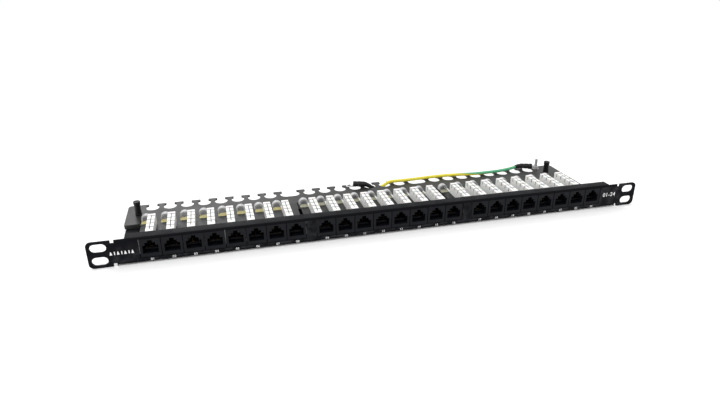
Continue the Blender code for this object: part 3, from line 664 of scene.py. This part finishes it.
def make_prints():
    """Port numbers under the jacks, plain marks on the left ear and the port range at right."""
    shape = bmesh.new()
    for number, x in enumerate(PORTS, start=1):
        mesh = printed_text(f"{number:02d}", NUMERAL_SIZE, x + NUMERAL_PLACE[0], NUMERAL_PLACE[1])
        shape.from_mesh(mesh)
        bpy.data.meshes.remove(mesh)
    mesh = printed_text("01-24", RANGE_SIZE, *RANGE_PLACE)
    shape.from_mesh(mesh)
    bpy.data.meshes.remove(mesh)
    obj = new_object("port_numbers", finish_shape(shape, "port_numbers"), INK)
    add_piece(obj)
    marks = bmesh.new()
    for number in range(MARK_COUNT):
        x = MARK_FROM[0] + MARK_STEP * number
        add_mark(marks, x, MARK_FROM[1], number % 2)
    obj = new_object("ear_marks", finish_shape(marks, "ear_marks"), INK)
    add_piece(obj)


def add_mark(shape, x, z, kind):
    """A plain wedge or a short bar printed on the face."""
    half, rise = MARK_WIDTH / 2, MARK_HEIGHT / 2
    if kind:
        outline = ((-0.3 * half, -rise), (0.45 * half, -rise), (0.45 * half, rise),
                   (-0.3 * half, rise))
    else:
        outline = ((-half, -rise), (half, -rise), (0.25 * half, rise), (-0.25 * half, rise))
    rings = [[shape.verts.new(at(x + u, y, z + v)) for u, v in outline]
             for y in (PRINT_FRONT, PRINT_BACK)]
    shape.faces.new(rings[0])
    shape.faces.new(list(reversed(rings[1])))
    for step in range(len(outline)):
        following = (step + 1) % len(outline)
        shape.faces.new((rings[0][following], rings[0][step], rings[1][step],
                         rings[1][following]))


make_prints()


# --- Jacks --------------------------------------------------------------------------------

JACK_EDGE = 0.22
CONTACT_PITCH = 1.02
CONTACT_WIDTH = 0.36
CONTACT_THICK = 0.24
CONTACT_LINE = ((13.1, 12.6), (11.6, 12.3), (9.8, 11.6), (8.2, 10.8), (7.0, 10.25), (6.2, 10.0),
                (5.7, 9.75))   # depth behind the face and height, front end last
COMB_FRONT = 5.2
COMB_BACK = 8.4
COMB_HALF = 5.5
TOOTH_HALF = 0.2


def make_jacks():
    """24 modular jacks: housing and eight sprung contacts on a small comb each."""
    housing = finish_shape(carried_mesh("jack_01"), "jack_housing")
    first = new_object("jack_housing_01", housing, JACK)
    round_edges(first, JACK_EDGE, 2)
    housing = first.data
    housing.transform(Matrix.Translation((-PORTS[0] * MM, 0.0, 0.0)))
    contacts = bmesh.new()
    for pin in range(8):
        x = (pin - 3.5) * CONTACT_PITCH
        path = [(x, y, z) for y, z in CONTACT_LINE]
        add_rod(contacts, path, CONTACT_WIDTH, CONTACT_THICK)
    for tooth in range(9):
        x = (tooth - 4) * CONTACT_PITCH
        add_box(contacts, (x - TOOTH_HALF, COMB_FRONT, 9.4), (x + TOOTH_HALF, COMB_BACK, 10.5), 1)
    add_box(contacts, (-COMB_HALF, COMB_FRONT, 8.8), (COMB_HALF, COMB_BACK, 9.6), 1)
    bmesh.ops.recalc_face_normals(contacts, faces=contacts.faces)
    bmesh.ops.translate(contacts, vec=(0.0, -FRONT * MM, 0.0), verts=contacts.verts)
    contact_mesh = finish_shape(contacts, "jack_contacts", 50.0)
    contact_mesh.materials.append(GOLD)
    contact_mesh.materials.append(JACK)
    for number, x in enumerate(PORTS, start=1):
        obj = first if number == 1 else new_object(f"jack_housing_{number:02d}", housing)
        obj.location = (x * MM, 0.0, 0.0)
        add_piece(obj, replaces=(f"jack_{number:02d}",))
        springs = new_object(f"jack_contacts_{number:02d}", contact_mesh)
        springs.location = (x * MM, 0.0, 0.0)
        add_piece(springs)


make_jacks()


# --- Boards and blocks --------------------------------------------------------------------

BOARD_TOP = 6.3
BOARD_EDGE = 0.08
WINDOW_FROM = (-12.2, 58.2)    # X from the port and depth behind the face
WINDOW_TO = (-5.0, 64.8)
PIN_FIRST = (-4.2, 25.0)
PIN_STEP = (0.6, 7.2)
PIN_SHIFT = 1.2                # the second row of four pins, further back
JOINT_LEVEL = 4.7
JOINT_RADIUS = 0.62
JOINT_TIP = 0.24
JOINT_DEPTH = 0.5
BLOCK_EDGE = 0.16
BLADE_HALF = 0.6
BLADE_SPACE = 0.3              # from the slot's middle to the middle of each blade
BLADE_THICK = 0.1              # half the blade's thickness
BLADE_LOW = 3.3                # below the block's top
BLADE_HIGH = 1.2
ROW_SHIFT = 1.65               # from the block's middle to each row of slots
CODE_HALF = 0.85
BLOCK_LEFT = -5.05
BLOCK_RIGHT = 1.05
BLOCK_TOP = 16.3
SLOT_CENTRES = [30.2 + 7.25 * i for i in range(4)]


def make_boards():
    """The boards, the bare windows in their mask and the solder joints beneath."""
    for group in range(3):
        node = f"circuit_board_{group + 1}"
        carried_piece(node, f"board_{group + 1}", BOARD_EDGE, BOARD, segments=1)
        windows = bmesh.new()
        joints = bmesh.new()
        start = group * PORTS_PER_GROUP
        for x in PORTS[start:start + PORTS_PER_GROUP]:
            add_box(windows, (x + WINDOW_FROM[0], WINDOW_FROM[1], BOARD_TOP - 0.02),
                    (x + WINDOW_TO[0], WINDOW_TO[1], BOARD_TOP + 0.06))
            for pin in range(8):
                across = x + PIN_FIRST[0] + PIN_STEP[0] * pin
                back = PIN_FIRST[1] + (pin % 4) * PIN_STEP[1] + (PIN_SHIFT if pin > 3 else 0.0)
                add_joint(joints, across, back, JOINT_LEVEL)
        for shape, name, material, slot in (
            (windows, "bare_windows", STRAW if group == 0 else OLIVE, "board"),
            (joints, "solder_joints", TIN, "steel"),
        ):
            bmesh.ops.translate(shape, vec=(0.0, -FRONT * MM, 0.0), verts=shape.verts)
            mesh = finish_shape(shape, name, 50.0)
            add_piece(new_object(f"{name}_{group + 1}", mesh, material))


def add_joint(shape, x, y, z):
    """A solder joint under the board: a low cone that narrows downwards."""
    made = bmesh.ops.create_cone(shape, cap_ends=True, segments=10, radius1=JOINT_RADIUS * MM,
                                 radius2=JOINT_TIP * MM, depth=JOINT_DEPTH * MM)["verts"]
    bmesh.ops.rotate(shape, verts=made, matrix=Matrix.Rotation(math.pi, 3, "X"))
    bmesh.ops.translate(shape, vec=(x * MM, y * MM, (z - 0.24) * MM), verts=made)


def block_finish(face):
    """Which material a face of the block takes: 0 outside, 1 the slot walls in painted shade, 2 on
    the arch.
    """
    x, y, z = (value / MM for value in face.center)
    y += FRONT
    if x < BLOCK_LEFT - 0.3 and z > 7.9:
        return 2
    inside = BLOCK_LEFT + 0.12 < x < BLOCK_RIGHT - 0.12 and 22.7 < y < 56.0
    return 1 if inside and BLOCK_TOP - 3.6 < z < BLOCK_TOP - 0.22 else 0


def make_blocks():
    """24 termination blocks with their contact blades and colour codes."""
    first = new_object("wire_block_01", finish_shape(carried_mesh("idc_block_01"), "wire_block"),
                       BLOCK)
    round_edges(first, BLOCK_EDGE, 2)
    block = first.data
    block.transform(Matrix.Translation((-PORTS[0] * MM, 0.0, 0.0)))
    # Second material: the slot walls in painted shade.
    block.materials.append(SLOT_PAINTED_SHADE)
    block.materials.append(ARCH)
    for face in block.polygons:
        face.material_index = block_finish(face)
    blades = bmesh.new()
    codes = bmesh.new()
    middle = (BLOCK_LEFT + BLOCK_RIGHT) / 2
    for number, y in enumerate(SLOT_CENTRES):
        for side in (-1, 1):
            x = middle + side * ROW_SHIFT
            for edge in (-1, 1):
                blade = y + edge * BLADE_SPACE
                add_box(blades, (x - BLADE_HALF, blade - BLADE_THICK, BLOCK_TOP - BLADE_LOW),
                        (x + BLADE_HALF, blade + BLADE_THICK, BLOCK_TOP - BLADE_HIGH))
            low = (x - CODE_HALF, y + side * 0.35 + 1.1, BLOCK_TOP - 0.01)
            high = (x + CODE_HALF, y + side * 0.35 + 2.3, BLOCK_TOP + 0.035)
            add_box(codes, low, high, number)
    for shape in (blades, codes):
        bmesh.ops.translate(shape, vec=(0.0, -FRONT * MM, 0.0), verts=shape.verts)
    blade_mesh = finish_shape(blades, "block_blades")
    blade_mesh.materials.append(TIN)
    code_mesh = finish_shape(codes, "block_codes")
    for material in CODES:
        code_mesh.materials.append(material)
    for number, x in enumerate(PORTS, start=1):
        obj = first if number == 1 else new_object(f"wire_block_{number:02d}", block)
        obj.location = (x * MM, 0.0, 0.0)
        add_piece(obj, replaces=(f"idc_block_{number:02d}",))
        for mesh, name, slot in ((blade_mesh, "block_blades", "steel"),
                                 (code_mesh, "block_codes", "white_plastic")):
            part = new_object(f"{name}_{number:02d}", mesh)
            part.location = (x * MM, 0.0, 0.0)
            add_piece(part)


make_boards()
make_blocks()


# --- Screws, stud and nut -----------------------------------------------------------------

SCREW_Y = 80.5
SCREW_PLACES = {"thumbscrew_left": -211.6, "thumbscrew_right": 196.4}
SCREW_TOP = 19.1
CAP_RADIUS = 3.0
SHANK_RADIUS = 2.72
FOOT_RADIUS = 2.9
DRIVER_SLOT = 0.45     # half the slot's width
NUT_HEIGHT = 2.4
NUT_ACROSS = 5.5
NUT_FACE = 2.62
NUT_BORE = 1.62


def make_thumbscrews():
    """Tall black screws with a wider cap and a slotted top."""
    top = SCREW_TOP
    low = BAR_TOP + GAP
    profile = rounded_profile([
        (0.0, top), (CAP_RADIUS, top), (CAP_RADIUS, top - 2.7), (SHANK_RADIUS, top - 3.1),
        (SHANK_RADIUS, low + 1.2), (FOOT_RADIUS, low + 0.9), (FOOT_RADIUS, low), (1.5, low),
        (1.5, 1.2), (0.0, 1.0),
    ], 0.45)
    for body, x in SCREW_PLACES.items():
        obj = lathe(body.replace("thumbscrew", "tall_screw"), profile, SCREW, (x, SCREW_Y), 48)
        cutter_shape = bmesh.new()
        add_box(cutter_shape, (-4.0, -DRIVER_SLOT, top - 1.0), (4.0, DRIVER_SLOT, top + 1.0))
        cutter = new_object("screw_slot", finish_shape(cutter_shape, "screw_slot"))
        cutter.location = obj.location
        cut = obj.modifiers.new("slot", "BOOLEAN")
        cut.operation = "DIFFERENCE"
        cut.solver = "EXACT"
        cut.object = cutter
        bpy.context.view_layer.update()
        apply_modifiers(obj)
        bpy.data.objects.remove(cutter, do_unlink=True)
        add_piece(obj, body, (body,))


def make_stud():
    """The threaded stud: a helical thread with a chamfered tip, and its head below the bar."""
    radius, depth, pitch = 1.48, 0.16, 0.5
    low, high = 4.5, 17.0
    head_low, head_radius = 2.5, 2.9
    sides = 28
    shape = bmesh.new()
    rings = []
    levels = int((high - low) / pitch * 8)
    for level in range(levels + 1):
        z = low + (high - low) * level / levels
        ring = []
        for step in range(sides):
            angle = 2 * math.pi * step / sides
            phase = (z / pitch - step / sides) % 1.0
            cut = depth * (1.0 - abs(2.0 * phase - 1.0))
            here = min(radius - cut, radius - 0.5 + (high - z))
            ring.append(shape.verts.new((here * MM * math.cos(angle), here * MM * math.sin(angle),
                                         z * MM)))
        rings.append(ring)
    head = []
    for r, z in ((head_radius - 0.2, low), (head_radius, low - 0.2), (head_radius, head_low + 0.5),
                 (head_radius - 0.6, head_low)):
        head.append([shape.verts.new((r * MM * math.cos(2 * math.pi * step / sides),
                                      r * MM * math.sin(2 * math.pi * step / sides), z * MM))
                     for step in range(sides)])
    chain = list(reversed(rings)) + head
    for first, second in zip(chain, chain[1:]):
        for step in range(sides):
            following = (step + 1) % sides
            shape.faces.new((first[step], second[step], second[following], first[following]))
    shape.faces.new(chain[0])
    shape.faces.new(list(reversed(chain[-1])))
    bmesh.ops.recalc_face_normals(shape, faces=shape.faces)
    obj = new_object("threaded_stud", finish_shape(shape, "threaded_stud", 40.0), STEEL)
    obj.location = at(STUD[0], STUD[1], 0.0)
    add_piece(obj, replaces=("ground_stud",))


def make_nut():
    """The hexagon nut, with its corners chamfered on both faces."""
    low = BAR_TOP + GAP + LUG_THICK + GAP
    high = low + NUT_HEIGHT
    corner = NUT_ACROSS / 2 / math.cos(math.radians(30))
    bore = NUT_BORE
    blank = lathe("hex_nut", [
        (bore + 0.25, high), (NUT_FACE, high), (corner + 0.02, high - 0.32),
        (corner + 0.02, low + 0.32), (NUT_FACE, low), (bore + 0.25, low), (bore, low + 0.25),
        (bore, high - 0.25), (bore + 0.25, high),
    ], ZINC, STUD, 60)
    hexagon = bmesh.new()
    bmesh.ops.create_cone(hexagon, cap_ends=True, segments=6, radius1=corner * MM,
                          radius2=corner * MM, depth=6 * MM)
    bmesh.ops.translate(hexagon, vec=(0.0, 0.0, (low + high) / 2 * MM), verts=hexagon.verts)
    keep = new_object("hexagon", finish_shape(hexagon, "hexagon"))
    keep.location = blank.location
    cut = blank.modifiers.new("flats", "BOOLEAN")
    cut.operation = "INTERSECT"
    cut.solver = "EXACT"
    cut.object = keep
    bpy.context.view_layer.update()
    apply_modifiers(blank)
    bpy.data.objects.remove(keep, do_unlink=True)
    blank.data.shade_smooth()
    blank.data.set_sharp_from_angle(angle=math.radians(25.0))
    add_piece(blank, "ground_nut", ("ground_nut",))


make_thumbscrews()
make_stud()
make_nut()


# --- Stage --------------------------------------------------------------------------------

SKY_STRENGTH = 1.06
FLOOR_LEVEL = -0.0005  # metres
LAMPS = (              # name, place in metres, size in metres, power in watts
    ("key", (-0.7, -0.5, 1.3), 1.2, 7.0),
    ("rear", (-0.5, 1.3, 1.1), 1.4, 10.0),
    ("fill", (1.0, -0.8, 0.7), 1.2, 1.5),
)


def make_stage():
    """A plain pale floor, a soft white sky and broad studio lamps."""
    floor = bmesh.new()
    bmesh.ops.create_grid(floor, x_segments=1, y_segments=1, size=6.0)
    obj = new_object("floor", finish_shape(floor, "floor"))
    obj.location = (0.0, 0.0, FLOOR_LEVEL)
    paint = Paint("floor_white", (0.93, 0.93, 0.93), 0.9)
    obj.data.materials.append(paint.material)
    world = bpy.data.worlds.new("soft_sky")
    world.use_nodes = True
    background = world.node_tree.nodes["Background"]
    background.inputs["Color"].default_value = (1.0, 1.0, 1.0, 1.0)
    background.inputs["Strength"].default_value = SKY_STRENGTH
    bpy.context.scene.world = world
    bpy.context.scene.view_settings.view_transform = "Standard"
    for name, place, size, power in LAMPS:
        light = bpy.data.lights.new(name, "AREA")
        light.size = size
        light.energy = power
        lamp = bpy.data.objects.new(name, light)
        lamp.location = place
        lamp.rotation_euler = (-Vector(place)).to_track_quat("-Z", "Y").to_euler()
        bpy.context.scene.collection.objects.link(lamp)


make_stage()
